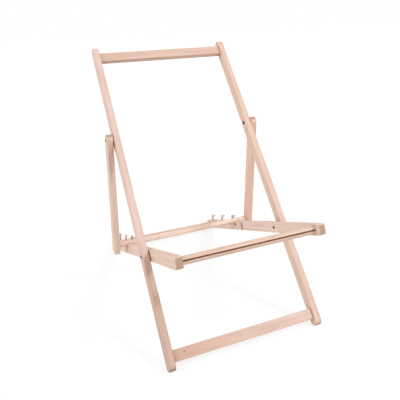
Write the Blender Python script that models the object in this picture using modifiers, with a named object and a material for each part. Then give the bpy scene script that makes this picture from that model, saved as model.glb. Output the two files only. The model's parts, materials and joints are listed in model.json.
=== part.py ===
"""Folding deckchair frame in raw beech, as an assembly of separate pieces.

Three flat frames share two pivot lines. The back frame carries the head bar and
the foot bar. The seat frame lies inside it and turns on the seat pivots. The prop
frame straddles both, turns on the prop pivots, and its round rod drops into one
of three hooked notches on the seat rails.

Metres, +Z up, X across the chair, -Y towards the front. The origin is on the
floor, in the middle of the chair's footprint.
"""

import math

import bmesh
import bpy
from mathutils import Matrix, Vector

# overall layout
BACK_SLOPE = math.radians(48.0)
ORIGIN_SETBACK = 0.45022
GAP = 0.0003

# timber sections
RAIL_DEPTH = 0.040
RAIL_THICK = 0.024
RAIL_EDGE = 0.0016
BAR_DEPTH = 0.040
FOOT_BAR_DEPTH = 0.038
BAR_THICK = 0.022
BAR_EDGE = 0.0018
TENON_DEPTH = 0.026
TENON_THICK = 0.010
TENON_LENGTH = 0.016

# half distances from the centre plane to each layer of timber
SEAT_INNER = 0.2384
SEAT_OUTER = SEAT_INNER + RAIL_THICK
BACK_INNER = 0.2660
BACK_OUTER = BACK_INNER + RAIL_THICK
PROP_INNER = 0.2936
PROP_OUTER = PROP_INNER + RAIL_THICK

# back frame, measured up the rail from its foot
BACK_FOOT = -0.005
BACK_TOP = 1.268
SEAT_PIVOT_UP = 0.380
PROP_PIVOT_UP = 0.847
HEAD_BAR_UP = 1.221
FOOT_BAR_UP = 0.0383

# seat frame, measured rearwards from the seat pivot
SEAT_FRONT = -0.322
SEAT_REAR = 0.744
SEAT_CORNER = 0.011
FRONT_ROD_AT = -0.2875
FRONT_ROD_RADIUS = 0.014
FRONT_ROD_TENON_RADIUS = 0.009
SLOT_WIDTH = 0.0055
SLOT_DEPTH = 0.012
REAR_RUNG_AT = 0.704

# tool reach past a face, mesh tidying and small round parts
OVERSHOOT = 0.002
PILOT_SPARE = 0.001
MERGE_DISTANCE = 0.00001
FLAT_ANGLE = 0.001
SOFTEN_ANGLE = math.radians(50.0)
SHARP_ANGLE = math.radians(35.0)
SLEEVE_FLOOR = 0.0010
FINE_STEPS = 12

# hooked racks, measured rearwards from the seat pivot and up from the rail's middle
RACK_FRONT = 0.298
RACK_REAR = 0.680
RACK_THICK = 0.0060
RACK_BOTTOM = -0.018
RACK_TOP = 0.019
RACK_CORNER = 0.009
HOOK_STEMS = (0.3908, 0.5177, 0.6450)
STEM_LEVEL = 0.030
STEM_HALF = 0.0065
STEM_LEAN = math.radians(21.8)
THROAT_SETOFF = 0.0176
THROAT_RADIUS = 0.014
THROAT_RISE = 0.024
CROWN_TOP = 0.0505
CROWN_REACH = 0.0315
CROWN_TIP_RADIUS = 0.0026
CROWN_SLOPE = math.radians(14.0)
CROWN_CORNER = 0.011
STEM_FILLET = 0.006

# prop frame, measured down the leg from the prop pivot
PROP_TOP = -0.0205
PROP_BOTTOM = 0.500
PROP_REAR_CORNER = 0.012
PROP_FRONT_CORNER = 0.004
PROP_ROD_RADIUS = 0.0115
PROP_ROD_SOCKET = 0.014
ROD_SEAT_SHIFT = 0.0010
ROD_SEAT_DROP = 0.0019

# fasteners
BOLT_RADIUS = 0.0040
BOLT_HOLE_RADIUS = 0.0043
SLEEVE_RADIUS = 0.0050
SLEEVE_HOLE_RADIUS = 0.0053
SLEEVE_LENGTH = 0.018
SLEEVE_FLANGE = 0.0022
PROP_FLANGE_RADIUS = 0.0075
SEAT_FLANGE_RADIUS = 0.0056
BOLT_HEAD_RADIUS = 0.0056
BOLT_HEAD_THICK = 0.0020
BOLT_REACH = 0.016
WASHER_RADIUS = 0.0120
WASHER_THICK = 0.0030
SCREW_AT = 0.358
SCREW_RISE = 0.0045
SCREW_HEAD_RADIUS = 0.0048
SCREW_HEAD_THICK = 0.0014
SCREW_SHANK_RADIUS = 0.0020
SCREW_LENGTH = 0.022
NAILS_AT = {"front": 0.306, "middle": 0.415, "rear": 0.668}
NAIL_RISE = 0.003
NAIL_HEAD_RADIUS = 0.0019
NAIL_HEAD_THICK = 0.0008
NAIL_SHANK_RADIUS = 0.0010
NAIL_LENGTH = 0.020
HEAD_DOME = 0.0010

# facets
ROUND_STEPS = 28
SMALL_STEPS = 16
END_STEPS = 12
CORNER_STEPS = 4

SIDES = {"left": -1, "right": 1}
BEECH = (0.760, 0.545, 0.430)
BEECH_DARK = (0.700, 0.480, 0.365)
BEECH_PALE = (0.800, 0.590, 0.480)
STEEL_DARK = (0.060, 0.052, 0.048)
STEEL_GREY = (0.420, 0.400, 0.370)
WOOD_ROUGHNESS = 0.61
BOLT_ROUGHNESS = 0.35
SCREW_ROUGHNESS = 0.45
WASHER_ROUGHNESS = 0.38
STEEL_METALLIC = 0.9


# ---------------------------------------------------------------- derived sizes

def foot_height():
    """Height of the back frame's zero mark, so its rounded foot stands on the floor."""
    half = RAIL_DEPTH / 2
    return half - (BACK_FOOT + half) * math.sin(BACK_SLOPE)


def back_point(up):
    """Point on the middle line of the back rails."""
    return Vector((0.0, up * math.cos(BACK_SLOPE) - ORIGIN_SETBACK,
                   foot_height() + up * math.sin(BACK_SLOPE)))


def seat_slope():
    """Slope of the seat rails, from the seat pivot down to their rear ends on the floor."""
    run = SEAT_REAR - SEAT_CORNER
    drop = RAIL_DEPTH / 2 - SEAT_CORNER
    height = back_point(SEAT_PIVOT_UP).z - SEAT_CORNER
    return math.asin(height / math.hypot(run, drop)) - math.atan2(drop, run)


def seat_point(rear, rise):
    """Point beside the seat rails' middle line."""
    slope = seat_slope()
    along = Vector((0.0, math.cos(slope), -math.sin(slope)))
    normal = Vector((0.0, math.sin(slope), math.cos(slope)))
    return back_point(SEAT_PIVOT_UP) + along * rear + normal * rise


def throat_centre(stem):
    """Centre of the round throat in front of a hook's stem."""
    return stem - THROAT_SETOFF


def rod_rest():
    """Centre of the prop rod, resting in the throat of the front hook."""
    return seat_point(throat_centre(HOOK_STEMS[0]) + ROD_SEAT_SHIFT,
                      THROAT_RISE - ROD_SEAT_DROP)


def prop_vector():
    """From the prop pivot to the prop rod."""
    return rod_rest() - back_point(PROP_PIVOT_UP)


# ------------------------------------------------------------------- scene setup

def clear_scene():
    for item in list(bpy.data.objects):
        bpy.data.objects.remove(item, do_unlink=True)


def new_collection(name):
    group = bpy.data.collections.new(name)
    bpy.context.scene.collection.children.link(group)
    return group


clear_scene()
PARTS = new_collection("deckchair_frame")
CUTTERS = new_collection("cutters")


def set_material(obj, colour, roughness, metallic):
    """Give the piece a Principled material of its own."""
    mat = bpy.data.materials.new(obj.name)
    mat.use_nodes = True
    shader = mat.node_tree.nodes["Principled BSDF"]
    shader.inputs["Base Color"].default_value = (*colour, 1.0)
    shader.inputs["Roughness"].default_value = roughness
    shader.inputs["Metallic"].default_value = metallic
    obj.data.materials.append(mat)


def frame_empty(name, place, turn):
    """An empty on a pivot line; +Y runs along its rails and +Z off their face."""
    empty = bpy.data.objects.new(name, None)
    PARTS.objects.link(empty)
    empty.location = place
    empty.rotation_euler = (turn, 0.0, 0.0)
    return empty


# ---------------------------------------------------------------------- outlines

def arc(centre, radius, start, stop, steps):
    """Points on an arc, both ends included; angles in degrees."""
    points = []
    for i in range(steps + 1):
        turn = math.radians(start + (stop - start) * i / steps)
        points.append((centre[0] + radius * math.cos(turn),
                       centre[1] + radius * math.sin(turn)))
    return points


def circle(centre, radius, steps):
    return arc(centre, radius, 0.0, 360.0, steps)[:-1]


def box_outline(low, high, depth, radii):
    """A bar's end-to-end outline with its own radius at each corner."""
    half = depth / 2
    low_bottom, high_bottom, high_top, low_top = radii
    points = arc((low + low_bottom, low_bottom - half), low_bottom, 180, 270, CORNER_STEPS)
    points += arc((high - high_bottom, high_bottom - half), high_bottom, 270, 360, CORNER_STEPS)
    points += arc((high - high_top, half - high_top), high_top, 0, 90, CORNER_STEPS)
    points += arc((low + low_top, half - low_top), low_top, 90, 180, CORNER_STEPS)
    return points


def round_end_outline(low, high, depth):
    """A rail's outline with half-round ends."""
    half = depth / 2
    points = arc((high - half, 0.0), half, -90, 90, END_STEPS)
    return points + arc((low + half, 0.0), half, 90, 270, END_STEPS)


def notch(stem, level):
    """The part of a hook's throat that lies below the given level, from rear to front."""
    centre = (throat_centre(stem), THROAT_RISE)
    lean = math.degrees(math.asin((level - THROAT_RISE) / THROAT_RADIUS))
    return arc(centre, THROAT_RADIUS, lean, -180 - lean, END_STEPS)


def seat_rail_outline():
    """Seat rail with rounded ends and one notch in front of each hook."""
    half = RAIL_DEPTH / 2
    corner = SEAT_CORNER
    points = arc((SEAT_FRONT + corner, corner - half), corner, 180, 270, CORNER_STEPS)
    points += arc((SEAT_REAR - corner, corner - half), corner, 270, 360, CORNER_STEPS)
    points += arc((SEAT_REAR - corner, half - corner), corner, 0, 90, CORNER_STEPS)
    for stem in reversed(HOOK_STEMS):
        points += notch(stem, half)
    points += arc((SEAT_FRONT + corner, half - corner), corner, 90, 180, CORNER_STEPS)
    return points


def beside_stem(stem, level, offset):
    """Point at a level and at an offset, square to it, from a stem's leaning rear side."""
    run = (level - STEM_LEVEL - offset * math.sin(STEM_LEAN)) / math.cos(STEM_LEAN)
    along = stem + STEM_HALF - run * math.sin(STEM_LEAN) + offset * math.cos(STEM_LEAN)
    return along, level


def hook_outline(stem):
    """One hook, from the foot of its rear side over the crown to the rack's top edge."""
    lean = math.degrees(STEM_LEAN)
    foot = beside_stem(stem, RACK_TOP + STEM_FILLET, STEM_FILLET)
    points = arc(foot, STEM_FILLET, 270, 180 + lean, CORNER_STEPS)
    head = beside_stem(stem, CROWN_TOP - CROWN_CORNER, -CROWN_CORNER)
    points += arc(head, CROWN_CORNER, lean, 90, CORNER_STEPS)
    centre = (throat_centre(stem), THROAT_RISE)
    leave = 90.0 - math.degrees(CROWN_SLOPE)
    start = (centre[0] + THROAT_RADIUS * math.cos(math.radians(leave)),
             centre[1] + THROAT_RADIUS * math.sin(math.radians(leave)))
    reach = stem - CROWN_REACH
    underside = start[1] + (start[0] - reach) * math.tan(CROWN_SLOPE)
    tip = (reach, underside + CROWN_TIP_RADIUS)
    points += arc(tip, CROWN_TIP_RADIUS, 100, 256, CORNER_STEPS)
    dip = math.degrees(math.asin((RACK_TOP - THROAT_RISE) / THROAT_RADIUS))
    points += arc(centre, THROAT_RADIUS, leave, -180 - dip, 2 * END_STEPS)
    return points


def rack_outline():
    """Rack plate with its three hooks, anticlockwise from its lower front corner."""
    corner = RACK_CORNER
    points = arc((RACK_FRONT + corner, RACK_BOTTOM + corner), corner, 180, 270, CORNER_STEPS)
    points += arc((RACK_REAR - corner, RACK_BOTTOM + corner), corner, 270, 360, CORNER_STEPS)
    points += arc((RACK_REAR - corner, RACK_TOP - corner), corner, 0, 90, CORNER_STEPS)
    for stem in reversed(HOOK_STEMS):
        points += hook_outline(stem)
    points += arc((RACK_FRONT + corner, RACK_TOP - corner), corner, 90, 180, CORNER_STEPS)
    return points


def slotted_outline():
    """Round rod, open along its front in a narrow slot."""
    side = math.degrees(math.asin(SLOT_WIDTH / 2 / FRONT_ROD_RADIUS))
    points = arc((FRONT_ROD_AT, 0.0), FRONT_ROD_RADIUS, -180 + side, 180 - side, ROUND_STEPS)
    floor = FRONT_ROD_AT - FRONT_ROD_RADIUS + SLOT_DEPTH
    points.append((floor, SLOT_WIDTH / 2))
    points.append((floor, -SLOT_WIDTH / 2))
    return points


# ------------------------------------------------------------------------ solids

def prism(name, outline, x_low, x_high, parent, group=PARTS):
    """A flat outline in the frame's plane, given its thickness across the chair."""
    curve = bpy.data.curves.new(name, "CURVE")
    curve.dimensions = "2D"
    curve.fill_mode = "BOTH"
    curve.extrude = (x_high - x_low) / 2
    spline = curve.splines.new("POLY")
    spline.points.add(len(outline) - 1)
    for point, (along, rise) in zip(spline.points, outline):
        point.co = (along, rise, 0.0, 1.0)
    spline.use_cyclic_u = True
    sketch = bpy.data.objects.new(name + "_sketch", curve)
    group.objects.link(sketch)
    bpy.context.view_layer.update()
    solid = sketch.evaluated_get(bpy.context.evaluated_depsgraph_get())
    mesh = bpy.data.meshes.new_from_object(solid)
    bpy.data.objects.remove(sketch, do_unlink=True)
    shape = bmesh.new()
    shape.from_mesh(mesh)
    bmesh.ops.remove_doubles(shape, verts=shape.verts, dist=1e-6)
    bmesh.ops.dissolve_limit(shape, angle_limit=FLAT_ANGLE, verts=shape.verts, edges=shape.edges)
    bmesh.ops.recalc_face_normals(shape, faces=shape.faces)
    shape.to_mesh(mesh)
    shape.free()
    across = Matrix(((0, 0, 1, (x_low + x_high) / 2), (1, 0, 0, 0), (0, 1, 0, 0), (0, 0, 0, 1)))
    mesh.transform(across)
    mesh.name = name
    obj = bpy.data.objects.new(name, mesh)
    group.objects.link(obj)
    obj.parent = parent
    return obj


def cutter(name, outline, x_low, x_high, parent):
    """A helper prism that is only used by Booleans."""
    obj = prism(name, outline, min(x_low, x_high), max(x_low, x_high), parent, CUTTERS)
    obj.hide_render = True
    obj.display_type = "WIRE"
    return obj


def combine(obj, tool, operation):
    """Cut the tool from the piece, or join it to the piece."""
    step = obj.modifiers.new(tool.name, "BOOLEAN")
    step.operation = operation
    step.solver = "EXACT"
    step.object = tool


def soften(obj, width):
    """Round the long edges of a flat piece."""
    step = obj.modifiers.new("edges", "BEVEL")
    step.width = width
    step.segments = 2
    step.limit_method = "ANGLE"
    step.angle_limit = SOFTEN_ANGLE


def smooth(obj):
    obj.data.shade_smooth()
    obj.data.set_sharp_from_angle(angle=SHARP_ANGLE)


def bore(obj, label, along, rise, radius, x_low, x_high, steps=SMALL_STEPS):
    """Drill a round hole across the piece."""
    tool = cutter(f"{obj.name}_{label}", circle((along, rise), radius, steps), x_low, x_high,
                  obj.parent)
    combine(obj, tool, "DIFFERENCE")


def mortise(obj, label, along, x_low, x_high):
    """Cut a blind mortise with clearance round a bar's tenon."""
    low = along - TENON_DEPTH / 2 - GAP
    high = along + TENON_DEPTH / 2 + GAP
    half = TENON_THICK / 2 + GAP
    outline = [(low, -half), (high, -half), (high, half), (low, half)]
    tool = cutter(f"{obj.name}_{label}", outline, x_low, x_high, obj.parent)
    combine(obj, tool, "DIFFERENCE")


def blind_reach(side, inner, depth):
    """X range of a blind cut into a rail's inner face, opened a little past that face."""
    return side * (inner - OVERSHOOT), side * (inner + depth)


# -------------------------------------------------------------------- back frame

def make_back_rail(label, side, parent):
    outline = round_end_outline(BACK_FOOT, BACK_TOP, RAIL_DEPTH)
    low, high = sorted((side * BACK_INNER, side * BACK_OUTER))
    rail = prism(f"back_rail_{label}", outline, low, high, parent)
    soften(rail, RAIL_EDGE)
    bore(rail, "seat_bolt", SEAT_PIVOT_UP, 0.0, BOLT_HOLE_RADIUS, low - OVERSHOOT, high + OVERSHOOT)
    bore(rail, "prop_bolt", PROP_PIVOT_UP, 0.0, SLEEVE_HOLE_RADIUS, low - OVERSHOOT, high + OVERSHOOT)
    depth = TENON_LENGTH + 2 * GAP
    mortise(rail, "head_bar", HEAD_BAR_UP, *blind_reach(side, BACK_INNER, depth))
    mortise(rail, "foot_bar", FOOT_BAR_UP, *blind_reach(side, BACK_INNER, depth))
    smooth(rail)
    set_material(rail, BEECH, WOOD_ROUGHNESS, 0.0)
    return rail


def make_bar(name, along, depth, inner, parent, colour):
    """A rectangular cross bar with a tenon at each end."""
    edge = BAR_EDGE
    outline = box_outline(-depth / 2, depth / 2, BAR_THICK, (edge, edge, edge, edge))
    outline = [(along + y, z) for y, z in outline]
    reach = inner - GAP
    bar = prism(name, outline, -reach, reach, parent)
    half_depth = TENON_DEPTH / 2
    half_thick = TENON_THICK / 2
    tenon = [(along - half_depth, -half_thick), (along + half_depth, -half_thick),
             (along + half_depth, half_thick), (along - half_depth, half_thick)]
    tool = cutter(f"{name}_tenons", tenon, -reach - TENON_LENGTH, reach + TENON_LENGTH, parent)
    combine(bar, tool, "UNION")
    smooth(bar)
    set_material(bar, colour, WOOD_ROUGHNESS, 0.0)
    return bar


def turned(name, profile, parent, place, direction, steps, colour, roughness, metallic):
    """A turned piece from (radius, height) pairs, its axis laid along the direction."""
    mesh = bpy.data.meshes.new(name)
    shape = bmesh.new()
    rim = [shape.verts.new((radius, 0.0, height)) for radius, height in profile]
    for first, second in zip(rim, rim[1:]):
        shape.edges.new((first, second))
    shape.to_mesh(mesh)
    shape.free()
    obj = bpy.data.objects.new(name, mesh)
    PARTS.objects.link(obj)
    obj.parent = parent
    obj.location = place
    obj.rotation_euler = Vector(direction).to_track_quat("Z", "Y").to_euler()
    screw = obj.modifiers.new("turn", "SCREW")
    screw.axis = "Z"
    screw.steps = steps
    screw.render_steps = steps
    screw.use_merge_vertices = True
    screw.merge_threshold = MERGE_DISTANCE
    screw.use_smooth_shade = True
    set_material(obj, colour, roughness, metallic)
    return obj


def pin_profile(head, head_thick, shank, length):
    """Domed head above zero and a plain shank below it, from top to bottom."""
    rim = head_thick - min(HEAD_DOME, 0.5 * head_thick)
    return [(0.0, head_thick), (0.6 * head, head_thick - 0.25 * (head_thick - rim)), (head, rim),
            (head, 0.0), (shank, 0.0), (shank, -length), (0.0, -length)]


def bore_along(obj, label, place, direction, radius, depth):
    """Drill a blind round hole at any angle; the place is on the piece's face."""
    mesh = bpy.data.meshes.new(f"{obj.name}_{label}")
    shape = bmesh.new()
    bmesh.ops.create_cone(shape, cap_ends=True, segments=FINE_STEPS, radius1=radius, radius2=radius,
                          depth=2 * depth)
    shape.to_mesh(mesh)
    shape.free()
    tool = bpy.data.objects.new(mesh.name, mesh)
    CUTTERS.objects.link(tool)
    tool.parent = obj.parent
    tool.location = place
    tool.rotation_euler = Vector(direction).to_track_quat("Z", "Y").to_euler()
    tool.hide_render = True
    tool.display_type = "WIRE"
    combine(obj, tool, "DIFFERENCE")


def make_washer(name, along, x_inner, parent):
    """A plain steel spacer ring between two frames."""
    ring = prism(name, circle((along, 0.0), WASHER_RADIUS, ROUND_STEPS), x_inner,
                 x_inner + WASHER_THICK, parent)
    bore(ring, "hole", along, 0.0, BOLT_HOLE_RADIUS, x_inner - OVERSHOOT,
         x_inner + WASHER_THICK + OVERSHOOT)
    smooth(ring)
    set_material(ring, STEEL_GREY, WASHER_ROUGHNESS, STEEL_METALLIC)


def make_bolt(name, parent, place, side, shaft):
    """Flat-headed pivot bolt; its head lies against the outer timber."""
    profile = pin_profile(BOLT_HEAD_RADIUS, BOLT_HEAD_THICK, BOLT_RADIUS, shaft)
    turned(name, profile, parent, place, (side, 0, 0), ROUND_STEPS, STEEL_DARK,
           BOLT_ROUGHNESS, STEEL_METALLIC)


def make_sleeve_nut(name, parent, place, side, flange):
    """Barrel nut with a thin flange, let into the inner timber, open towards the bolt."""
    profile = [(BOLT_HOLE_RADIUS, SLEEVE_LENGTH), (SLEEVE_RADIUS, SLEEVE_LENGTH),
               (SLEEVE_RADIUS, 0.0), (flange, 0.0), (flange, -0.6 * SLEEVE_FLANGE),
               (0.8 * flange, -SLEEVE_FLANGE), (0.0, -SLEEVE_FLANGE)]
    profile = [(0.0, SLEEVE_FLOOR), (BOLT_HOLE_RADIUS, SLEEVE_FLOOR)] + profile
    turned(name, profile, parent, place, (side, 0, 0), ROUND_STEPS, STEEL_DARK,
           BOLT_ROUGHNESS, STEEL_METALLIC)


def make_back_frame():
    parent = frame_empty("back_frame_line", back_point(0.0), BACK_SLOPE)
    make_bar("head_bar", HEAD_BAR_UP, BAR_DEPTH, BACK_INNER, parent, BEECH_PALE)
    make_bar("foot_bar", FOOT_BAR_UP, FOOT_BAR_DEPTH, BACK_INNER, parent, BEECH)
    for label, side in SIDES.items():
        make_back_rail(label, side, parent)
        inner = side * (SEAT_OUTER + GAP) if side > 0 else -SEAT_OUTER - GAP - WASHER_THICK
        make_washer(f"seat_pivot_washer_{label}", SEAT_PIVOT_UP, inner, parent)
        inner = side * (BACK_OUTER + GAP) if side > 0 else -BACK_OUTER - GAP - WASHER_THICK
        make_washer(f"prop_pivot_washer_{label}", PROP_PIVOT_UP, inner, parent)
        place = (side * (BACK_OUTER + GAP), SEAT_PIVOT_UP, 0.0)
        shaft = BACK_OUTER - SEAT_OUTER + BOLT_REACH
        make_bolt(f"seat_pivot_bolt_{label}", parent, place, side, shaft)
        place = (side * (BACK_INNER - GAP), PROP_PIVOT_UP, 0.0)
        make_sleeve_nut(f"prop_pivot_nut_{label}", parent, place, side, PROP_FLANGE_RADIUS)


# -------------------------------------------------------------------- seat frame

def make_seat_rail(label, side, parent):
    low, high = sorted((side * SEAT_INNER, side * SEAT_OUTER))
    rail = prism(f"seat_rail_{label}", seat_rail_outline(), low, high, parent)
    soften(rail, RAIL_EDGE)
    bore(rail, "pivot", 0.0, 0.0, SLEEVE_HOLE_RADIUS, low - OVERSHOOT, high + OVERSHOOT)
    reach = blind_reach(side, SEAT_INNER, TENON_LENGTH + 2 * GAP)
    mortise(rail, "rear_rung", REAR_RUNG_AT, *reach)
    bore(rail, "front_rod", FRONT_ROD_AT, 0.0, FRONT_ROD_TENON_RADIUS + GAP, *reach, ROUND_STEPS)
    inner = side * SEAT_INNER
    bore_along(rail, "screw", (inner, SCREW_AT, SCREW_RISE), (1, 0, 0),
               SCREW_SHANK_RADIUS + GAP, SCREW_LENGTH - RACK_THICK + PILOT_SPARE)
    for name, along in NAILS_AT.items():
        bore_along(rail, f"nail_{name}", (inner, along, NAIL_RISE), (1, 0, 0),
                   NAIL_SHANK_RADIUS + GAP, NAIL_LENGTH - RACK_THICK + PILOT_SPARE)
    smooth(rail)
    set_material(rail, BEECH_PALE, WOOD_ROUGHNESS, 0.0)


def make_front_rod(parent):
    """Slotted rod that grips the hem of a sling; round tenons enter the rails."""
    reach = SEAT_INNER - GAP
    rod = prism("front_rod", slotted_outline(), -reach, reach, parent)
    for label, side in SIDES.items():
        ends = (side * (reach - GAP), side * (reach + TENON_LENGTH))
        tool = cutter(f"front_rod_tenon_{label}",
                      circle((FRONT_ROD_AT, 0.0), FRONT_ROD_TENON_RADIUS, ROUND_STEPS),
                      *ends, parent)
        combine(rod, tool, "UNION")
    smooth(rod)
    set_material(rod, BEECH_PALE, WOOD_ROUGHNESS, 0.0)


def make_rack(label, side, parent):
    """Thin plate with three hooks, nailed and screwed to the rail's inner face."""
    outer = SEAT_INNER - GAP
    low, high = sorted((side * (outer - RACK_THICK), side * outer))
    rack = prism(f"rack_{label}", rack_outline(), low, high, parent)
    bore(rack, "screw", SCREW_AT, SCREW_RISE, SCREW_SHANK_RADIUS + GAP, low - OVERSHOOT,
         high + OVERSHOOT, FINE_STEPS)
    for name, along in NAILS_AT.items():
        bore(rack, f"nail_{name}", along, NAIL_RISE, NAIL_SHANK_RADIUS + GAP, low - OVERSHOOT,
             high + OVERSHOOT, FINE_STEPS)
    smooth(rack)
    set_material(rack, BEECH_DARK, WOOD_ROUGHNESS, 0.0)
    face = side * (outer - RACK_THICK - GAP)
    profile = pin_profile(SCREW_HEAD_RADIUS, SCREW_HEAD_THICK, SCREW_SHANK_RADIUS, SCREW_LENGTH)
    turned(f"rack_screw_{label}", profile, parent, (face, SCREW_AT, SCREW_RISE), (-side, 0, 0),
           SMALL_STEPS, STEEL_DARK, SCREW_ROUGHNESS, STEEL_METALLIC)
    for name, along in NAILS_AT.items():
        profile = pin_profile(NAIL_HEAD_RADIUS, NAIL_HEAD_THICK, NAIL_SHANK_RADIUS, NAIL_LENGTH)
        turned(f"rack_nail_{name}_{label}", profile, parent, (face, along, NAIL_RISE),
               (-side, 0, 0), FINE_STEPS, STEEL_DARK, SCREW_ROUGHNESS,
               STEEL_METALLIC)


def make_seat_frame():
    parent = frame_empty("seat_pivot_line", back_point(SEAT_PIVOT_UP), -seat_slope())
    make_front_rod(parent)
    make_bar("rear_rung", REAR_RUNG_AT, BAR_DEPTH, SEAT_INNER, parent, BEECH)
    for label, side in SIDES.items():
        make_seat_rail(label, side, parent)
        make_rack(label, side, parent)
        place = (side * (SEAT_INNER - GAP), 0.0, 0.0)
        make_sleeve_nut(f"seat_pivot_nut_{label}", parent, place, side, SEAT_FLANGE_RADIUS)


# -------------------------------------------------------------------- prop frame

def make_prop_leg(label, side, parent, rod_down):
    half = RAIL_DEPTH / 2
    outline = arc((PROP_TOP + half, 0.0), half, 90, 270, END_STEPS)
    front = PROP_FRONT_CORNER
    rear = PROP_REAR_CORNER
    outline += arc((PROP_BOTTOM - front, front - half), front, 270, 360, CORNER_STEPS)
    outline += arc((PROP_BOTTOM - rear, half - rear), rear, 0, 90, CORNER_STEPS)
    low, high = sorted((side * PROP_INNER, side * PROP_OUTER))
    leg = prism(f"prop_leg_{label}", outline, low, high, parent)
    soften(leg, RAIL_EDGE)
    bore(leg, "bolt", 0.0, 0.0, BOLT_HOLE_RADIUS, low - OVERSHOOT, high + OVERSHOOT)
    reach = blind_reach(side, PROP_INNER, PROP_ROD_SOCKET + GAP)
    bore(leg, "rod", rod_down, 0.0, PROP_ROD_RADIUS + GAP, *reach, ROUND_STEPS)
    smooth(leg)
    set_material(leg, BEECH, WOOD_ROUGHNESS, 0.0)


def make_prop_frame():
    down = prop_vector()
    turn = math.atan2(down.z, down.y)
    parent = frame_empty("prop_pivot_line", back_point(PROP_PIVOT_UP), turn)
    rod_down = down.length
    reach = PROP_INNER + PROP_ROD_SOCKET
    rod = prism("prop_rod", circle((rod_down, 0.0), PROP_ROD_RADIUS, ROUND_STEPS), -reach, reach,
                parent)
    smooth(rod)
    set_material(rod, BEECH_PALE, WOOD_ROUGHNESS, 0.0)
    for label, side in SIDES.items():
        make_prop_leg(label, side, parent, rod_down)
        place = (side * (PROP_OUTER + GAP), 0.0, 0.0)
        shaft = PROP_OUTER - BACK_OUTER + BOLT_REACH
        make_bolt(f"prop_pivot_bolt_{label}", parent, place, side, shaft)


make_back_frame()
make_seat_frame()
make_prop_frame()
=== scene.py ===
"""Looks of the folding deckchair frame: raw beech timber with steel fasteners.

Every piece is built in the plane of the frame that it belongs to: X across the chair, Y along
that frame's rails and Z off their face. The frame's matrix then puts it in place.
"""

import json
import math

import bmesh
import bpy
from mathutils import Matrix, Vector


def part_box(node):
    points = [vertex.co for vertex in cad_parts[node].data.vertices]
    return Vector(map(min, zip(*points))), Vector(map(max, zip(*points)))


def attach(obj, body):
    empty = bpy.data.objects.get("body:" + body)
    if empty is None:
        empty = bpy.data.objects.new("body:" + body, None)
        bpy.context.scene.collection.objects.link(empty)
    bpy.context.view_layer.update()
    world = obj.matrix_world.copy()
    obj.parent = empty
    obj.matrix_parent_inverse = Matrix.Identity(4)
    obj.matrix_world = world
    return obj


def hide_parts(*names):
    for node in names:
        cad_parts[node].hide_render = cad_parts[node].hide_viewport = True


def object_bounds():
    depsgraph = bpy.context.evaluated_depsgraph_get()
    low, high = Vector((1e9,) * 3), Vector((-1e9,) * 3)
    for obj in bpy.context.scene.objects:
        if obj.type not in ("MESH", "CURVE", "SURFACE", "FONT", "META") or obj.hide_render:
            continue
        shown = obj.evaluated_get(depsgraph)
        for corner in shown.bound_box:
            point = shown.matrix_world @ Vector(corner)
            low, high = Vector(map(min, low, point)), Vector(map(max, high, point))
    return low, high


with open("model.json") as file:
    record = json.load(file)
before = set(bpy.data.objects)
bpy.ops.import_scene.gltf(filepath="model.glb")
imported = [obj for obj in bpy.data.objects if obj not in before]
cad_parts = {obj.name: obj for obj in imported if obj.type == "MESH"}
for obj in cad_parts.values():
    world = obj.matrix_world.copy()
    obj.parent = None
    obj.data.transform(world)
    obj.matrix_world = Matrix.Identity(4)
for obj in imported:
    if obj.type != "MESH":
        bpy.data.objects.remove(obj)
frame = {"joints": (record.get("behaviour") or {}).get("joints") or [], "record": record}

CAD_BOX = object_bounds()
RECORD = frame["record"]
BODY_OF = {node: body for body, nodes in RECORD["behaviour"]["bodies"].items() for node in nodes}
PIVOT = {row["name"]: Vector(row["pos_m"]) for row in frame["joints"]}
SIDES = {"left": -1, "right": 1}

# ------------------------------------------------------------------ sizes, in metres

GAP = 0.0003
BACK_SLOPE = math.radians(48.0)
SEAT_SLOPE = math.radians(21.772835)
SEAT_PIVOT_UP = 0.380
PROP_PIVOT_UP = 0.847
RAIL_DEPTH = 0.040
ARRIS = 0.0021
SLOT_ARRIS = 0.0005

BACK_ENDS = (-0.005, 1.268)
HEAD_BAR_UP = 1.221
FOOT_BAR_UP = 0.0383
BAR_DEPTH = 0.040
FOOT_BAR_DEPTH = 0.038
BAR_THICK = 0.022
BAR_ARRIS = 0.0020

SEAT_ENDS = (-0.322, 0.744)
SEAT_CORNER = 0.011
FRONT_ROD_AT = -0.2875
FRONT_ROD_RADIUS = 0.014
SLOT_WIDTH = 0.0055
SLOT_DEPTH = 0.012
REAR_RUNG_AT = 0.704

RACK_ENDS = (0.298, 0.680)
RACK_BOTTOM = -0.018
RACK_TOP = 0.019
RACK_CORNER = 0.009
RACK_ARRIS = 0.0009
HOOK_STEMS = (0.3908, 0.5177, 0.6450)
STEM_LEVEL = 0.030
STEM_HALF = 0.0065
STEM_LEAN = math.radians(21.8)
THROAT_SETOFF = 0.0176
THROAT_RADIUS = 0.014
THROAT_RISE = 0.024
CROWN_TOP = 0.0505
CROWN_REACH = 0.0315
CROWN_TIP_RADIUS = 0.0026
CROWN_SLOPE = math.radians(14.0)
CROWN_CORNER = 0.011
STEM_FILLET = 0.006

PROP_ENDS = (-0.0205, 0.500)
PROP_REAR_CORNER = 0.012
PROP_FRONT_CORNER = 0.004
PROP_ROD_RADIUS = 0.0115

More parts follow.
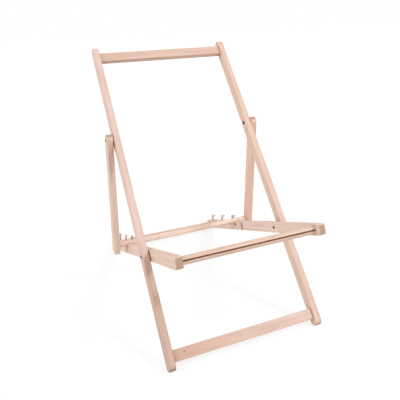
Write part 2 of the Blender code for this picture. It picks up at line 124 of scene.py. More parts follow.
BOLT_RADIUS = 0.0040
BOLT_HOLE_RADIUS = 0.0043
SLEEVE_RADIUS = 0.0050
SLEEVE_HOLE_RADIUS = 0.0053
SLEEVE_LENGTH = 0.018
SLEEVE_FLANGE = 0.0022
PROP_FLANGE_RADIUS = 0.0075
SEAT_FLANGE_RADIUS = 0.0056
BOLT_HEAD_RADIUS = 0.0056
BOLT_HEAD_THICK = 0.0020
BOLT_REACH = 0.016
BOLT_DOME = 0.0014
BOLT_SOCKET = (0.0030, 0.0018)
NUT_DOME = 0.0010
NUT_SOCKET = (0.0026, 0.0016)
NUT_FLOOR = 0.0010
WASHER_RADIUS = 0.0120
WASHER_EDGE = 0.0005
SCREW_AT = (0.358, 0.0045)
SCREW_HEAD_RADIUS = 0.0048
SCREW_HEAD_THICK = 0.0014
SCREW_SHANK_RADIUS = 0.0020
SCREW_LENGTH = 0.022
SCREW_DOME = 0.0009
SCREW_CROSS = (0.0042, 0.0009, 0.0009)
NAILS_AT = {"front": 0.306, "middle": 0.415, "rear": 0.668}
NAIL_RISE = 0.003
NAIL_HEAD_RADIUS = 0.0019
NAIL_HEAD_THICK = 0.0008
NAIL_SHANK_RADIUS = 0.0010
NAIL_LENGTH = 0.020
NAIL_DOME = 0.0005
SHANK_POINT = 0.0006
KNOT_FROM_LEFT = 0.039
KNOT_RISE = 0.0055

END_STEPS = 28
CORNER_STEPS = 8
ROUND_STEPS = 72
LATHE_STEPS = 56
BORE_STEPS = 48
DOME_STEPS = 8
RIM_STEPS = 6

OVERSHOOT = 0.002
ARRIS_ANGLE = math.radians(50.0)
TIMBER_SHARP = math.radians(40.0)
STEEL_SHARP = math.radians(35.0)

# shares of a domed head: where its soft rim starts, and how the fall splits
RIM_START = 0.86
DOME_SHARE = 0.55


# ---------------------------------------------------------------------- the frames

def line_frame(place, turn):
    """Matrix of a frame whose rails run from a place at a turn about the X axis."""
    return Matrix.Translation(place) @ Matrix.Rotation(turn, 4, "X")


def up_the_back(distance):
    return Vector((0.0, math.cos(BACK_SLOPE), math.sin(BACK_SLOPE))) * distance


def middle_of(node):
    low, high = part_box(node)
    return (low + high) / 2


BACK = line_frame(PIVOT["seat_pivot"] - up_the_back(SEAT_PIVOT_UP), BACK_SLOPE)
SEAT = line_frame(PIVOT["seat_pivot"], -SEAT_SLOPE)
ROD_WAY = middle_of("prop_rod") - PIVOT["prop_pivot"]
PROP = line_frame(PIVOT["prop_pivot"], math.atan2(ROD_WAY.z, ROD_WAY.y))
ROD_DOWN = math.hypot(ROD_WAY.y, ROD_WAY.z)


def layer(node):
    """Lowest and highest X of a CAD node."""
    low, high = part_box(node)
    return low.x, high.x


# ------------------------------------------------------------------------ outlines

def arc(centre, radius, start, stop, steps):
    """Points on an arc, both ends included; angles in degrees."""
    points = []
    for i in range(steps + 1):
        turn = math.radians(start + (stop - start) * i / steps)
        points.append((centre[0] + radius * math.cos(turn),
                       centre[1] + radius * math.sin(turn)))
    return points


def circle(centre, radius, steps=ROUND_STEPS):
    return arc(centre, radius, 0.0, 360.0, steps)[:-1]


def round_end_outline(ends, depth):
    half = depth / 2
    points = arc((ends[1] - half, 0.0), half, -90, 90, END_STEPS)
    return points + arc((ends[0] + half, 0.0), half, 90, 270, END_STEPS)


def throat_centre(stem):
    return stem - THROAT_SETOFF, THROAT_RISE


def notch(stem, level):
    """The part of a hook's throat below a level, from rear to front."""
    lean = math.degrees(math.asin((level - THROAT_RISE) / THROAT_RADIUS))
    return arc(throat_centre(stem), THROAT_RADIUS, lean, -180 - lean, END_STEPS)


def seat_rail_outline():
    half = RAIL_DEPTH / 2
    corner = SEAT_CORNER
    front, rear = SEAT_ENDS
    points = arc((front + corner, corner - half), corner, 180, 270, CORNER_STEPS)
    points += arc((rear - corner, corner - half), corner, 270, 360, CORNER_STEPS)
    points += arc((rear - corner, half - corner), corner, 0, 90, CORNER_STEPS)
    for stem in reversed(HOOK_STEMS):
        points += notch(stem, half)
    points += arc((front + corner, half - corner), corner, 90, 180, CORNER_STEPS)
    return points


def beside_stem(stem, level, offset):
    """Point at a level and at an offset, square to it, from a stem's leaning rear side."""
    run = (level - STEM_LEVEL - offset * math.sin(STEM_LEAN)) / math.cos(STEM_LEAN)
    along = stem + STEM_HALF - run * math.sin(STEM_LEAN) + offset * math.cos(STEM_LEAN)
    return along, level


def hook_outline(stem):
    """One hook, from the foot of its rear side over the crown to the rack's top edge."""
    lean = math.degrees(STEM_LEAN)
    foot = beside_stem(stem, RACK_TOP + STEM_FILLET, STEM_FILLET)
    points = arc(foot, STEM_FILLET, 270, 180 + lean, CORNER_STEPS)
    head = beside_stem(stem, CROWN_TOP - CROWN_CORNER, -CROWN_CORNER)
    points += arc(head, CROWN_CORNER, lean, 90, CORNER_STEPS)
    centre = throat_centre(stem)
    leave = 90.0 - math.degrees(CROWN_SLOPE)
    start = (centre[0] + THROAT_RADIUS * math.cos(math.radians(leave)),
             centre[1] + THROAT_RADIUS * math.sin(math.radians(leave)))
    reach = stem - CROWN_REACH
    underside = start[1] + (start[0] - reach) * math.tan(CROWN_SLOPE)
    points += arc((reach, underside + CROWN_TIP_RADIUS), CROWN_TIP_RADIUS, 100, 256,
                  CORNER_STEPS)
    dip = math.degrees(math.asin((RACK_TOP - THROAT_RISE) / THROAT_RADIUS))
    points += arc(centre, THROAT_RADIUS, leave, -180 - dip, 2 * END_STEPS)
    return points


def rack_outline():
    front, rear = RACK_ENDS
    corner = RACK_CORNER
    points = arc((front + corner, RACK_BOTTOM + corner), corner, 180, 270, CORNER_STEPS)
    points += arc((rear - corner, RACK_BOTTOM + corner), corner, 270, 360, CORNER_STEPS)
    points += arc((rear - corner, RACK_TOP - corner), corner, 0, 90, CORNER_STEPS)
    for stem in reversed(HOOK_STEMS):
        points += hook_outline(stem)
    points += arc((front + corner, RACK_TOP - corner), corner, 90, 180, CORNER_STEPS)
    return points


def prop_leg_outline():
    half = RAIL_DEPTH / 2
    top, bottom = PROP_ENDS
    front = PROP_FRONT_CORNER
    rear = PROP_REAR_CORNER
    points = arc((top + half, 0.0), half, 90, 270, END_STEPS)
    points += arc((bottom - front, front - half), front, 270, 360, CORNER_STEPS)
    points += arc((bottom - rear, half - rear), rear, 0, 90, CORNER_STEPS)
    return points


def slotted_outline():
    """Round rod, open along its front in a narrow slot."""
    side = math.degrees(math.asin(SLOT_WIDTH / 2 / FRONT_ROD_RADIUS))
    points = arc((FRONT_ROD_AT, 0.0), FRONT_ROD_RADIUS, -180 + side, 180 - side, ROUND_STEPS)
    floor = FRONT_ROD_AT - FRONT_ROD_RADIUS + SLOT_DEPTH
    return points + [(floor, SLOT_WIDTH / 2), (floor, -SLOT_WIDTH / 2)]


def bar_outline(along, depth=BAR_DEPTH):
    half = depth / 2
    thick = BAR_THICK / 2
    return [(along - half, -thick), (along + half, -thick), (along + half, thick),
            (along - half, thick)]


# -------------------------------------------------------------------------- meshes

def new_object(name, shape):
    mesh = bpy.data.meshes.new(name)
    bmesh.ops.recalc_face_normals(shape, faces=shape.faces)
    shape.to_mesh(mesh)
    shape.free()
    obj = bpy.data.objects.new(name, mesh)
    bpy.context.scene.collection.objects.link(obj)
    return obj


def close_prism(name, shape, near, far):
    """Both ends and the walls between two equal loops of vertices."""
    shape.faces.new(near)
    shape.faces.new(far)
    for i in range(len(near)):
        j = (i + 1) % len(near)
        shape.faces.new((near[i], near[j], far[j], far[i]))
    return new_object(name, shape)


def prism(name, outline, x_low, x_high):
    """A flat outline given its thickness across the chair."""
    shape = bmesh.new()
    near = [shape.verts.new((x_low, along, rise)) for along, rise in outline]
    far = [shape.verts.new((x_high, along, rise)) for along, rise in outline]
    return close_prism(name, shape, near, far)


def lathe(name, profile, steps=LATHE_STEPS):
    """A turned piece about its own Z axis from (radius, height) pairs; both ends on the axis."""
    shape = bmesh.new()
    rings = []
    for radius, height in profile:
        if radius == 0.0:
            rings.append([shape.verts.new((0.0, 0.0, height))])
            continue
        ring = []
        for i in range(steps):
            turn = 2 * math.pi * i / steps
            ring.append(shape.verts.new((radius * math.cos(turn), radius * math.sin(turn), height)))
        rings.append(ring)
    for first, second in zip(rings, rings[1:]):
        for i in range(steps):
            j = (i + 1) % steps
            corners = [first[i % len(first)], first[j % len(first)],
                       second[j % len(second)], second[i % len(second)]]
            shape.faces.new(list(dict.fromkeys(corners)))
    return new_object(name, shape)


def bevel(obj, width, segments=4):
    step = obj.modifiers.new("arris", "BEVEL")
    step.width = width
    step.segments = segments
    step.limit_method = "ANGLE"
    step.angle_limit = ARRIS_ANGLE


def cut(obj, tool):
    """Cut a helper from the piece; settle() removes the helper."""
    step = obj.modifiers.new("cut", "BOOLEAN")
    step.operation = "DIFFERENCE"
    step.solver = "EXACT"
    step.object = tool


def bore(obj, along, rise, radius):
    """Drill a round hole across a flat piece."""
    low = min(corner[0] for corner in obj.bound_box) - OVERSHOOT
    high = max(corner[0] for corner in obj.bound_box) + OVERSHOOT
    cut(obj, prism("bore", circle((along, rise), radius, BORE_STEPS), low, high))


def settle(obj, sharp=TIMBER_SHARP):
    """Turn the modifiers into mesh, remove their helpers and shade the piece smooth."""
    helpers = [step.object for step in obj.modifiers if step.type == "BOOLEAN"]
    bpy.context.view_layer.update()
    graph = bpy.context.evaluated_depsgraph_get()
    mesh = bpy.data.meshes.new_from_object(obj.evaluated_get(graph), depsgraph=graph)
    obj.modifiers.clear()
    obj.data = mesh
    mesh.name = obj.name
    for helper in helpers:
        bpy.data.objects.remove(helper, do_unlink=True)
    mesh.shade_smooth()
    mesh.set_sharp_from_angle(angle=sharp)
    normals = obj.modifiers.new("normals", "WEIGHTED_NORMAL")
    normals.keep_sharp = True


def place(obj, node, matrix, material):
    """Put a finished piece where its CAD node is, on that node's body.

    Its coordinates before the move stay in an attribute, which its material reads.
    """
    points = [value for vertex in obj.data.vertices for value in vertex.co]
    local = obj.data.attributes.new("local", "FLOAT_VECTOR", "POINT")
    local.data.foreach_set("vector", points)
    obj.data.transform(matrix)
    obj.data.materials.clear()
    obj.data.materials.append(material)
    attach(obj, BODY_OF[node])
    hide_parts(node)
    return obj


# ----------------------------------------------------------------------- materials

class Graph:
    """A small helper that builds one node material."""

    def __init__(self, name):
        self.material = bpy.data.materials.new(name)
        self.material.use_nodes = True
        self.nodes = self.material.node_tree.nodes
        self.links = self.material.node_tree.links
        self.shader = self.nodes["Principled BSDF"]

    def put(self, socket, value):
        if isinstance(value, bpy.types.NodeSocket):
            self.links.new(value, socket)
        elif value is not None:
            socket.default_value = value

    def math(self, operation, first, second=None, third=None, clamp=False):
        node = self.nodes.new("ShaderNodeMath")
        node.operation = operation
        node.use_clamp = clamp
        for socket, value in zip(node.inputs, (first, second, third)):
            self.put(socket, value)
        return node.outputs[0]

    def vector(self, x, y, z):
        node = self.nodes.new("ShaderNodeCombineXYZ")
        for socket, value in zip(node.inputs, (x, y, z)):
            self.put(socket, value)
        return node.outputs[0]

    def split(self, vector):
        node = self.nodes.new("ShaderNodeSeparateXYZ")
        self.put(node.inputs[0], vector)
        return list(node.outputs)

    def scaled(self, parts, scales, shift=0.0):
        """A vector from three values, each with its own scale."""
        values = [self.math("MULTIPLY_ADD", part, scale, shift)
                  for part, scale in zip(parts, scales)]
        return self.vector(*values)

    def noise(self, vector, scale=1.0, detail=2.0, roughness=0.5):
        node = self.nodes.new("ShaderNodeTexNoise")
        self.put(node.inputs["Vector"], vector)
        node.inputs["Scale"].default_value = scale
        node.inputs["Detail"].default_value = detail
        node.inputs["Roughness"].default_value = roughness
        return node.outputs["Fac"]

    def ramp(self, value, low, high, out_low=0.0, out_high=1.0):
        """Smooth step of a value between low and high."""
        node = self.nodes.new("ShaderNodeMapRange")
        node.interpolation_type = "SMOOTHSTEP"
        self.put(node.inputs["Value"], value)
        node.inputs["From Min"].default_value = low
        node.inputs["From Max"].default_value = high
        node.inputs["To Min"].default_value = out_low
        node.inputs["To Max"].default_value = out_high
        return node.outputs["Result"]

    def mix(self, factor, first, second, blend="MIX"):
        node = self.nodes.new("ShaderNodeMix")
        node.data_type = "RGBA"
        node.blend_type = blend
        self.put(node.inputs["Factor"], factor)
        for socket, value in zip((node.inputs[6], node.inputs[7]), (first, second)):
            self.put(socket, value if isinstance(value, bpy.types.NodeSocket) else (*value, 1.0))
        return node.outputs[2]

    def local(self):
        """Coordinates in the plane of the piece's own frame."""
        node = self.nodes.new("ShaderNodeAttribute")
        node.attribute_name = "local"
        return node.outputs["Vector"]

    def facing(self, direction):
        """How far the surface faces along a direction that is given at rest."""
        normal = self.nodes.new("ShaderNodeTexCoord").outputs["Normal"]
        node = self.nodes.new("ShaderNodeVectorMath")
        node.operation = "DOT_PRODUCT"
        self.put(node.inputs[0], normal)
        self.put(node.inputs[1], tuple(direction))
        return self.math("ABSOLUTE", node.outputs["Value"])

    def occlusion(self, distance, samples=6, inside=False):
        node = self.nodes.new("ShaderNodeAmbientOcclusion")
        node.samples = samples
        node.inside = inside
        node.inputs["Distance"].default_value = distance
        return node.outputs["AO"]

    def bump(self, height, strength, distance):
        node = self.nodes.new("ShaderNodeBump")
        node.inputs["Strength"].default_value = strength
        node.inputs["Distance"].default_value = distance
        self.put(node.inputs["Height"], height)
        self.put(self.shader.inputs["Normal"], node.outputs["Normal"])


PINK = (0.610, 0.448, 0.385)
STRAW = (0.620, 0.475, 0.385)
RING_WIDTH = 0.0026
WAVER = 0.010
KNOT_CORE = (0.0026, 0.0014)
KNOT_HALO = (0.0060, 0.0022)
KNOT_BROWN = (0.100, 0.048, 0.026)
EDGE_REACH = 0.0030
CORNER_SHADE_REACH = 0.055
RECESS_SHADE_REACH = 0.020
# stretch of each noise along and across the fibres, in cycles per metre
SLOW = (2.6, 7.0, 7.0)
PATCHES = (3.4, 15.0, 15.0)
STREAKS = (5.0, 120.0, 120.0)
FIBRES = (34.0, 950.0, 950.0)
DASHES = (190.0, 1500.0, 1500.0)
RUBS = (38.0, 120.0, 120.0)
PORES = (2100.0, 2100.0, 2100.0)
LATEWOOD = (0.470, 0.300, 0.220)
FLECK = (0.380, 0.220, 0.140)
END_GRAIN = (0.310, 0.185, 0.125)
# painted shade colour: warm darkening for corners and joints
PAINTED_CORNER_SHADE = (0.780, 0.560, 0.420)
# painted shade colour: saturated brown deep in slots and narrow gaps
PAINTED_RECESS_SHADE = (0.560, 0.270, 0.155)
RUBBED = (0.640, 0.485, 0.410)
EVEN = (0.0, 1.0, (1.0, 1.0, 1.0), (1.0, 1.0, 1.0))
# each piece's tone at two places along its grain, partly the wood's own colour and partly painted
# light and shade: the left back rail is darker towards its foot as painted shadow of the seat rail,
# the prop rod and the right seat rail are lightened as painted light, the foot bar is darker
# towards its left end, and the others get small shifts in tint
TONES_AND_PAINTED_LIGHT = {
    "back_rail_left": (0.28, 0.46, (0.77, 0.71, 0.67), (0.97, 0.97, 1.02)),
    "back_rail_right": (0.20, 1.10, (0.97, 0.94, 0.93), (0.95, 0.91, 0.88)),
    "head_bar": (-0.25, 0.25, (0.90, 0.85, 0.83), (0.92, 0.87, 0.86)),
    "foot_bar": (-0.22, 0.22, (0.82, 0.73, 0.69), (0.96, 0.93, 0.95)),
    "prop_leg_right": (0.00, 0.40, (1.05, 0.98, 0.93), (1.05, 0.99, 0.95)),
    "prop_rod": (-0.25, 0.25, (1.13, 1.18, 1.20), (1.13, 1.18, 1.20)),
    "seat_rail_right": (0.0, 0.50, (1.03, 1.06, 1.08), (1.03, 1.04, 1.05)),
    "front_rod": (-0.25, 0.25, (0.96, 0.94, 0.93), (0.98, 0.96, 0.95)),
}


def wood(name, grain, seed, matrix, middle=(0.0, 0.0), knot=None):
    """Sanded raw beech. Its grain runs along the frame's Y or X; middle is the section's."""
    g = Graph(name)
    x, y, z = g.split(g.local())
    along, side, rise = (y, x, z) if grain == "Y" else (x, y, z)
    shift = seed * 1.37 + 0.61
    # slow waver of the fibres, in metres
    waver = g.noise(g.scaled((along, side, rise), SLOW, shift), 1.0, 2.0)
    waver = g.math("MULTIPLY_ADD", waver, WAVER, -WAVER / 2)
    side_w = g.math("ADD", side, waver)
    rise_w = g.math("SUBTRACT", rise, waver)
    # growth rings about a pith beside the piece
    pith_side = g.math("SUBTRACT", side_w, middle[0])
    pith_rise = g.math("SUBTRACT", rise_w, middle[1])
    lean = 0.045 + 0.021 * (seed % 3)
    far = 0.060 + 0.017 * (seed % 4)
    across = g.math("ADD", pith_side, lean if seed % 2 else -lean)
    away = g.math("ADD", pith_rise, -far if seed % 3 else far)
    distance = g.math("SQRT", g.math("ADD", g.math("MULTIPLY", across, across),
                                     g.math("MULTIPLY", away, away)))
    drift = g.math("MULTIPLY", along, 0.012 + 0.004 * (seed % 3))
    ring = g.math("FRACT", g.math("DIVIDE", g.math("ADD", distance, drift), RING_WIDTH))
    late = g.math("MULTIPLY", g.ramp(ring, 0.45, 0.96), g.ramp(ring, 1.0, 0.955))
    # fibres and flecks
    wide = g.noise(g.scaled((along, side_w, rise_w), STREAKS, shift), 1.0, 3.0, 0.55)
    fine = g.noise(g.scaled((along, side_w, rise_w), FIBRES, shift), 1.0, 3.0, 0.6)
    dashes = g.noise(g.scaled((along, side_w, rise_w), DASHES, shift), 1.0, 1.0)
    dashes = g.ramp(dashes, 0.64, 0.74)
    patch = g.noise(g.scaled((along, side, rise), PATCHES, shift + 3.0), 1.0, 3.0, 0.55)
    colour = g.mix(g.ramp(patch, 0.30, 0.70), PINK, STRAW)
    colour = g.mix(g.math("MULTIPLY", late, 0.26), colour, LATEWOOD)
    colour = g.mix(g.ramp(wide, 0.40, 0.66, 0.0, 0.44), colour, LATEWOOD)
    colour = g.mix(g.ramp(fine, 0.40, 0.80, 0.0, 0.20), colour, LATEWOOD)
    colour = g.mix(g.math("MULTIPLY", dashes, 0.38), colour, FLECK)
    # end grain shows where the surface faces along the fibres
    fibres = matrix.to_3x3().col["XYZ".index(grain)]
    end = g.ramp(g.facing(fibres), 0.55, 0.95)
    pores = g.noise(g.scaled((along, side, rise), PORES, shift), 1.0, 2.0)
    end_colour = g.mix(g.ramp(pores, 0.35, 0.70, 0.0, 0.5), END_GRAIN, LATEWOOD)
    colour = g.mix(g.math("MULTIPLY", end, 0.90), colour, end_colour)
    # handling wear on the arrises, then painted shade in the corners, joints and slots
    edge = g.ramp(g.occlusion(EDGE_REACH, inside=True), 0.93, 0.62)
    rub = g.noise(g.scaled((along, side, rise), RUBS, shift), 1.0, 3.0, 0.6)
    worn = g.math("MULTIPLY", edge, g.ramp(rub, 0.36, 0.66, 0.15, 0.75))
    colour = g.mix(g.math("MULTIPLY", worn, 0.40), colour, RUBBED)
    # painted shade: warm darkening where corners and joints are occluded
    corner_shade = g.ramp(g.occlusion(CORNER_SHADE_REACH, 8), 0.92, 0.30, 0.0, 0.35)
    colour = g.mix(corner_shade, colour, PAINTED_CORNER_SHADE, "MULTIPLY")
    # painted shade: saturated brown deep in slots and narrow gaps
    recess_shade = g.ramp(g.occlusion(RECESS_SHADE_REACH, 8), 0.42, 0.12, 0.0, 0.90)
    colour = g.mix(recess_shade, colour, PAINTED_RECESS_SHADE)
    if knot:
        colour = add_knot(g, colour, (x, y, z), knot)
    # tone along the grain, partly the wood's own colour and partly painted light and shade
    low, high, low_tone_and_light, high_tone_and_light = TONES_AND_PAINTED_LIGHT.get(name, EVEN)
    tone_and_light = g.mix(g.ramp(along, low, high), low_tone_and_light, high_tone_and_light)
    colour = g.mix(1.0, colour, tone_and_light, "MULTIPLY")
    g.put(g.shader.inputs["Base Color"], colour)
    rough = g.math("MULTIPLY_ADD", fine, 0.16, 0.47)
    rough = g.math("MULTIPLY_ADD", end, 0.14, rough)
    rough = g.math("MULTIPLY_ADD", patch, 0.08, rough)
    rough = g.math("MULTIPLY_ADD", worn, -0.10, rough, clamp=True)
    g.put(g.shader.inputs["Roughness"], rough)
    g.shader.inputs["Specular IOR Level"].default_value = 0.38
    height = g.math("MULTIPLY_ADD", fine, 0.7, g.math("MULTIPLY", wide, 0.5))
    height = g.math("SUBTRACT", height, g.math("MULTIPLY", late, 0.35))
    height = g.math("SUBTRACT", height, g.math("MULTIPLY", dashes, 0.3))
    g.bump(height, 0.55, 0.00022)
    return g.material


def add_knot(g, colour, parts, spot):
    """A small dark pin knot with a brown ring, round a spot in the piece's own plane."""
    across = g.math("SUBTRACT", parts[0], spot[0])
    along = g.math("SUBTRACT", parts[1], spot[1])
    distance = g.math("SQRT", g.math("ADD", g.math("MULTIPLY", across, across),
                                     g.math("MULTIPLY", along, along)))
    halo = g.ramp(distance, *KNOT_HALO, 0.0, 0.40)
    colour = g.mix(halo, colour, LATEWOOD)
    core = g.ramp(distance, *KNOT_CORE)
    return g.mix(core, colour, KNOT_BROWN)


def steel(name, seed, base, bright, metallic, rough, edge_radius):
    """Fastener steel: mottled finish, rubbed bright round its rim, with fine turning marks."""
    g = Graph(name)
    x, y, z = g.split(g.local())
    radius = g.math("SQRT", g.math("ADD", g.math("MULTIPLY", x, x), g.math("MULTIPLY", y, y)))
    shift = seed * 2.31 + 0.4
    mottle = g.noise(g.scaled((x, y, z), (900.0, 900.0, 900.0), shift), 1.0, 4.0, 0.6)
    marks = g.noise(g.vector(g.math("MULTIPLY", radius, 5200.0), shift, 0.0), 1.0, 2.0)
    rim = g.ramp(radius, 0.86 * edge_radius, 0.99 * edge_radius)
    rubbed = g.math("MULTIPLY", rim, g.ramp(mottle, 0.38, 0.66))
    colour = g.mix(g.ramp(mottle, 0.30, 0.72), base, tuple(1.5 * c for c in base))
    colour = g.mix(g.math("MULTIPLY", rubbed, 0.6), colour, bright)
    g.put(g.shader.inputs["Base Color"], colour)
    g.shader.inputs["Metallic"].default_value = metallic
    roughness = g.math("MULTIPLY_ADD", mottle, 0.22, rough - 0.11)
    roughness = g.math("MULTIPLY_ADD", marks, 0.10, roughness)
    g.put(g.shader.inputs["Roughness"], g.math("MULTIPLY_ADD", rubbed, -0.12, roughness))
    g.bump(g.math("MULTIPLY_ADD", marks, 0.6, mottle), 0.4, 0.00004)
    return g.material


BLACK = (0.060, 0.030, 0.020)
BLACK_RUBBED = (0.220, 0.150, 0.110)
ZINC = (0.600, 0.500, 0.420)
ZINC_RUBBED = (0.700, 0.670, 0.610)


# -------------------------------------------------------------------------- pieces

def make_back_frame():
    inner = layer("back_rail_right")[0]
    for seed, (label, side) in enumerate(SIDES.items()):
        node = f"back_rail_{label}"
        low, high = layer(node)
        rail = prism(f"{node}_timber", round_end_outline(BACK_ENDS, RAIL_DEPTH), low, high)
        bevel(rail, ARRIS)
        bore(rail, SEAT_PIVOT_UP, 0.0, BOLT_HOLE_RADIUS)
        bore(rail, PROP_PIVOT_UP, 0.0, SLEEVE_HOLE_RADIUS)
        settle(rail)
        place(rail, node, BACK, wood(node, "Y", 1 + seed, BACK, middle=((low + high) / 2, 0.0)))
    reach = inner - GAP
    for seed, node, along in ((5, "head_bar", HEAD_BAR_UP), (6, "foot_bar", FOOT_BAR_UP)):
        depth = FOOT_BAR_DEPTH if node == "foot_bar" else BAR_DEPTH
        bar = prism(f"{node}_timber", bar_outline(along, depth), -reach, reach)
        bevel(bar, BAR_ARRIS)
        settle(bar)
        knot = (-inner + KNOT_FROM_LEFT, along + KNOT_RISE) if node == "foot_bar" else None
        place(bar, node, BACK, wood(node, "X", seed, BACK, middle=(along, 0.0), knot=knot))


def make_seat_frame():
    inner = layer("seat_rail_right")[0]
    for seed, (label, side) in enumerate(SIDES.items()):
        node = f"seat_rail_{label}"
        low, high = layer(node)
        rail = prism(f"{node}_timber", seat_rail_outline(), low, high)
        bevel(rail, ARRIS)
        bore(rail, 0.0, 0.0, SLEEVE_HOLE_RADIUS)
        settle(rail)
        place(rail, node, SEAT, wood(node, "Y", 3 + seed, SEAT, middle=((low + high) / 2, 0.0)))
        node = f"rack_{label}"
        rack = prism(f"{node}_timber", rack_outline(), *layer(node))
        bevel(rack, RACK_ARRIS, 3)
        settle(rack)
        place(rack, node, SEAT, wood(node, "Y", 7 + seed, SEAT, middle=(side * inner, 0.0)))
    reach = inner - GAP
    rod = prism("front_rod_timber", slotted_outline(), -reach, reach)
    bevel(rod, SLOT_ARRIS, 3)
    settle(rod)
    place(rod, "front_rod", SEAT, wood("front_rod", "X", 9, SEAT, middle=(FRONT_ROD_AT, 0.0)))
    rung = prism("rear_rung_timber", bar_outline(REAR_RUNG_AT), -reach, reach)
    bevel(rung, BAR_ARRIS)
    settle(rung)
    place(rung, "rear_rung", SEAT, wood("rear_rung", "X", 10, SEAT, middle=(REAR_RUNG_AT, 0.0)))


def make_prop_frame():
    inner = layer("prop_leg_right")[0]
    for seed, (label, side) in enumerate(SIDES.items()):
        node = f"prop_leg_{label}"
        low, high = layer(node)
        leg = prism(f"{node}_timber", prop_leg_outline(), low, high)
        bevel(leg, ARRIS)
        bore(leg, 0.0, 0.0, BOLT_HOLE_RADIUS)
        settle(leg)
        place(leg, node, PROP, wood(node, "Y", 11 + seed, PROP, middle=((low + high) / 2, 0.0)))
    reach = inner - GAP
    rod = prism("prop_rod_timber", circle((ROD_DOWN, 0.0), PROP_ROD_RADIUS), -reach, reach)
    settle(rod)
    place(rod, "prop_rod", PROP, wood("prop_rod", "X", 13, PROP, middle=(ROD_DOWN, 0.0)))


def fastener(node, profile, matrix, spot, side, material, recess=None):
    """A turned steel piece on its frame, its head facing outwards along side * X."""
    piece = lathe(f"{node}_steel", profile)
    if recess:
        recess(piece, profile[0][1])
    settle(piece, STEEL_SHARP)
    turn = Vector((side, 0, 0)).to_track_quat("Z", "Y").to_matrix().to_4x4()
    return place(piece, node, matrix @ Matrix.Translation(spot) @ turn, material)


def post(outline, low, high):
    """A helper prism along the Z axis."""
    shape = bmesh.new()
    near = [shape.verts.new((x, y, low)) for x, y in outline]
    far = [shape.verts.new((x, y, high)) for x, y in outline]
    return close_prism("post", shape, near, far)


def hex_recess(radius, depth):
    def sink(piece, top):
        cut(piece, post(circle((0.0, 0.0), radius, 6), top - depth, top + OVERSHOOT))
    return sink


def cross_recess(length, width, depth):
    def sink(piece, top):
        for a, b in ((length / 2, width / 2), (width / 2, length / 2)):
            outline = [(-a, -b), (a, -b), (a, b), (-a, b)]
            cut(piece, post(outline, top - depth, top + OVERSHOOT))
    return sink


def head_profile(head, thick, shank, length, dome):
    """Domed head above zero with a soft rim, and a plain shank below it."""
    profile = [(0.0, thick)]
    for i in range(1, DOME_STEPS + 1):
        share = i / DOME_STEPS
        profile.append((head * (RIM_START * share), thick - DOME_SHARE * dome * share * share))
    low = thick - DOME_SHARE * dome
    for i in range(1, RIM_STEPS + 1):
        turn = math.radians(90 * i / RIM_STEPS)
        profile.append((head * (RIM_START + (1 - RIM_START) * math.sin(turn)),
                        low - (1 - DOME_SHARE) * low * (1 - math.cos(turn))))
    profile += [(head, 0.0), (shank, 0.0), (shank, -length + SHANK_POINT),
                (shank - SHANK_POINT, -length), (0.0, -length)]
    return profile


def sleeve_profile(flange):
    """Barrel nut: a domed flange above zero and an open barrel below it."""
    head = head_profile(flange, SLEEVE_FLANGE, SLEEVE_RADIUS, SLEEVE_LENGTH, NUT_DOME)
    profile = head[:-3]
    return profile + [(SLEEVE_RADIUS, -SLEEVE_LENGTH), (BOLT_HOLE_RADIUS, -SLEEVE_LENGTH),
                      (BOLT_HOLE_RADIUS, -NUT_FLOOR), (0.0, -NUT_FLOOR)]


def make_washer(node, matrix, along):
    low, high = layer(node)
    thick = high - low
    soft = WASHER_EDGE
    rim = []
    for centre, start in (((WASHER_RADIUS - soft, thick - soft), 90),
                          ((WASHER_RADIUS - soft, soft), 0)):
        rim += arc(centre, soft, start, start - 90, 4)
    shape = bmesh.new()
    outline = rim + [(BOLT_HOLE_RADIUS, 0.0), (BOLT_HOLE_RADIUS, thick)]
    rings = []
    for i in range(LATHE_STEPS):
        turn = 2 * math.pi * i / LATHE_STEPS
        rings.append([shape.verts.new((r * math.cos(turn), r * math.sin(turn), h))
                      for r, h in outline])
    for i in range(LATHE_STEPS):
        first, second = rings[i], rings[(i + 1) % LATHE_STEPS]
        for j in range(len(outline)):
            k = (j + 1) % len(outline)
            shape.faces.new((first[j], first[k], second[k], second[j]))
    piece = new_object(f"{node}_steel", shape)
    settle(piece, STEEL_SHARP)
    turn = Vector((1, 0, 0)).to_track_quat("Z", "Y").to_matrix().to_4x4()
    material = steel(node, along, ZINC, ZINC_RUBBED, 1.0, 0.42, WASHER_RADIUS)
    place(piece, node, matrix @ Matrix.Translation((low, along, 0.0)) @ turn, material)


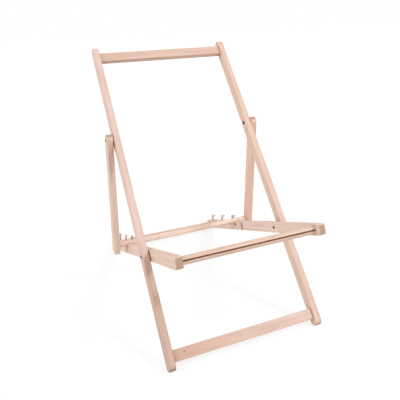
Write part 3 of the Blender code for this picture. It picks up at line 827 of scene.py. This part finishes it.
def make_fasteners():
    back_inner, back_outer = layer("back_rail_right")
    seat_inner, seat_outer = layer("seat_rail_right")
    prop_outer = layer("prop_leg_right")[1]
    rack_face = layer("rack_right")[0] - GAP
    for seed, (label, side) in enumerate(SIDES.items()):
        dark = steel(f"bolt_steel_{label}", 3 + seed, BLACK, BLACK_RUBBED, 0.85, 0.42,
                     BOLT_HEAD_RADIUS)
        small = steel(f"screw_steel_{label}", 8 + seed, BLACK, BLACK_RUBBED, 0.8, 0.46,
                      SCREW_HEAD_RADIUS)
        for joint, matrix, along, outer, inner in (
                ("seat_pivot", BACK, SEAT_PIVOT_UP, back_outer, seat_outer),
                ("prop_pivot", PROP, 0.0, prop_outer, back_outer)):
            shaft = outer - inner + BOLT_REACH
            profile = head_profile(BOLT_HEAD_RADIUS, BOLT_HEAD_THICK, BOLT_RADIUS, shaft,
                                   BOLT_DOME)
            fastener(f"{joint}_bolt_{label}", profile, matrix,
                     (side * (outer + GAP), along, 0.0), side, dark, hex_recess(*BOLT_SOCKET))
        make_washer(f"seat_pivot_washer_{label}", BACK, SEAT_PIVOT_UP)
        make_washer(f"prop_pivot_washer_{label}", BACK, PROP_PIVOT_UP)
        for joint, matrix, along, inner, flange in (
                ("seat_pivot", SEAT, 0.0, seat_inner, SEAT_FLANGE_RADIUS),
                ("prop_pivot", BACK, PROP_PIVOT_UP, back_inner, PROP_FLANGE_RADIUS)):
            fastener(f"{joint}_nut_{label}", sleeve_profile(flange), matrix,
                     (side * (inner - GAP), along, 0.0), -side, dark, hex_recess(*NUT_SOCKET))
        profile = head_profile(SCREW_HEAD_RADIUS, SCREW_HEAD_THICK, SCREW_SHANK_RADIUS,
                               SCREW_LENGTH, SCREW_DOME)
        fastener(f"rack_screw_{label}", profile, SEAT, (side * rack_face, *SCREW_AT), -side,
                 small, cross_recess(*SCREW_CROSS))
        for name, along in NAILS_AT.items():
            profile = head_profile(NAIL_HEAD_RADIUS, NAIL_HEAD_THICK, NAIL_SHANK_RADIUS,
                                   NAIL_LENGTH, NAIL_DOME)
            fastener(f"rack_nail_{name}_{label}", profile, SEAT,
                     (side * rack_face, along, NAIL_RISE), -side, small)


# --------------------------------------------------------------------------- stage

ROOM = (0.84, 0.74, 0.68)
LAMPS = (("key", (0.50, -0.50, 0.71), 12.0, 0.60, (0.82, 0.92, 1.00)),
         ("fill", (-0.82, -0.15, 0.55), 50.0, 0.55, (0.84, 0.94, 1.00)))
FLOOR_COLOUR = 0.16
FLOOR_GLOW = 0.80
FLOOR_CLOUD = 1.02
FLOOR_HALF = 14.0
FLOOR_DROP = 0.0002

CAMERA_PLACE = (-0.662947, -1.754940, 1.156906)
CAMERA_TURN = (72.733473, 0.988829, -24.433681)
CAMERA_LENS = 45.578178
CAMERA_SHIFT = (-0.0618146, -0.118849)


def make_stage():
    """Pale floor under the chair."""
    shape = bmesh.new()
    size = FLOOR_HALF
    level = CAD_BOX[0].z - FLOOR_DROP
    corners = [(-size, -size, level), (size, -size, level), (size, size, level),
               (-size, size, level)]
    shape.faces.new([shape.verts.new(corner) for corner in corners])
    floor = new_object("floor", shape)
    g = Graph("floor")
    cloud = g.noise(g.nodes.new("ShaderNodeTexCoord").outputs["Object"], 1.4, 3.0)
    pale = FLOOR_CLOUD * FLOOR_COLOUR
    colour = g.mix(cloud, (FLOOR_COLOUR,) * 3, (pale,) * 3)
    g.put(g.shader.inputs["Base Color"], colour)
    g.shader.inputs["Roughness"].default_value = 0.85
    g.shader.inputs["Emission Color"].default_value = (1.0, 1.0, 1.0, 1.0)
    g.shader.inputs["Emission Strength"].default_value = FLOOR_GLOW
    g.shader.inputs["Specular IOR Level"].default_value = 0.2
    floor.data.materials.append(g.material)


def make_light():
    """Warm room light, a soft key from above on the right and a soft fill from the left."""
    world = bpy.data.worlds.new("studio")
    world.use_nodes = True
    nodes = world.node_tree.nodes
    links = world.node_tree.links
    room = nodes["Background"]
    room.inputs["Color"].default_value = (*ROOM, 1.0)
    backdrop = nodes.new("ShaderNodeBackground")
    backdrop.inputs["Color"].default_value = (1.0, 1.0, 1.0, 1.0)
    path = nodes.new("ShaderNodeLightPath")
    mix = nodes.new("ShaderNodeMixShader")
    bright = nodes.new("ShaderNodeMath")
    bright.operation = "MAXIMUM"
    links.new(path.outputs["Is Camera Ray"], bright.inputs[0])
    links.new(path.outputs["Is Glossy Ray"], bright.inputs[1])
    links.new(bright.outputs[0], mix.inputs[0])
    links.new(room.outputs[0], mix.inputs[1])
    links.new(backdrop.outputs[0], mix.inputs[2])
    links.new(mix.outputs[0], nodes["World Output"].inputs[0])
    bpy.context.scene.world = world
    for name, way, angle, strength, colour in LAMPS:
        lamp = bpy.data.lights.new(name, "SUN")
        lamp.angle = math.radians(angle)
        lamp.energy = strength * math.pi
        lamp.color = colour
        obj = bpy.data.objects.new(name, lamp)
        obj.rotation_euler = Vector(way).to_track_quat("Z", "Y").to_euler()
        bpy.context.scene.collection.objects.link(obj)


def make_camera():
    data = bpy.data.cameras.new("camera")
    data.lens = CAMERA_LENS
    data.sensor_width = 36.0
    data.shift_x, data.shift_y = CAMERA_SHIFT
    data.clip_end = 100.0
    camera = bpy.data.objects.new("camera", data)
    camera.location = CAMERA_PLACE
    camera.rotation_euler = [math.radians(angle) for angle in CAMERA_TURN]
    bpy.context.scene.collection.objects.link(camera)
    bpy.context.scene.camera = camera


make_back_frame()
make_seat_frame()
make_prop_frame()
make_fasteners()
make_stage()
make_light()
make_camera()
bpy.context.scene.view_settings.view_transform = "Standard"
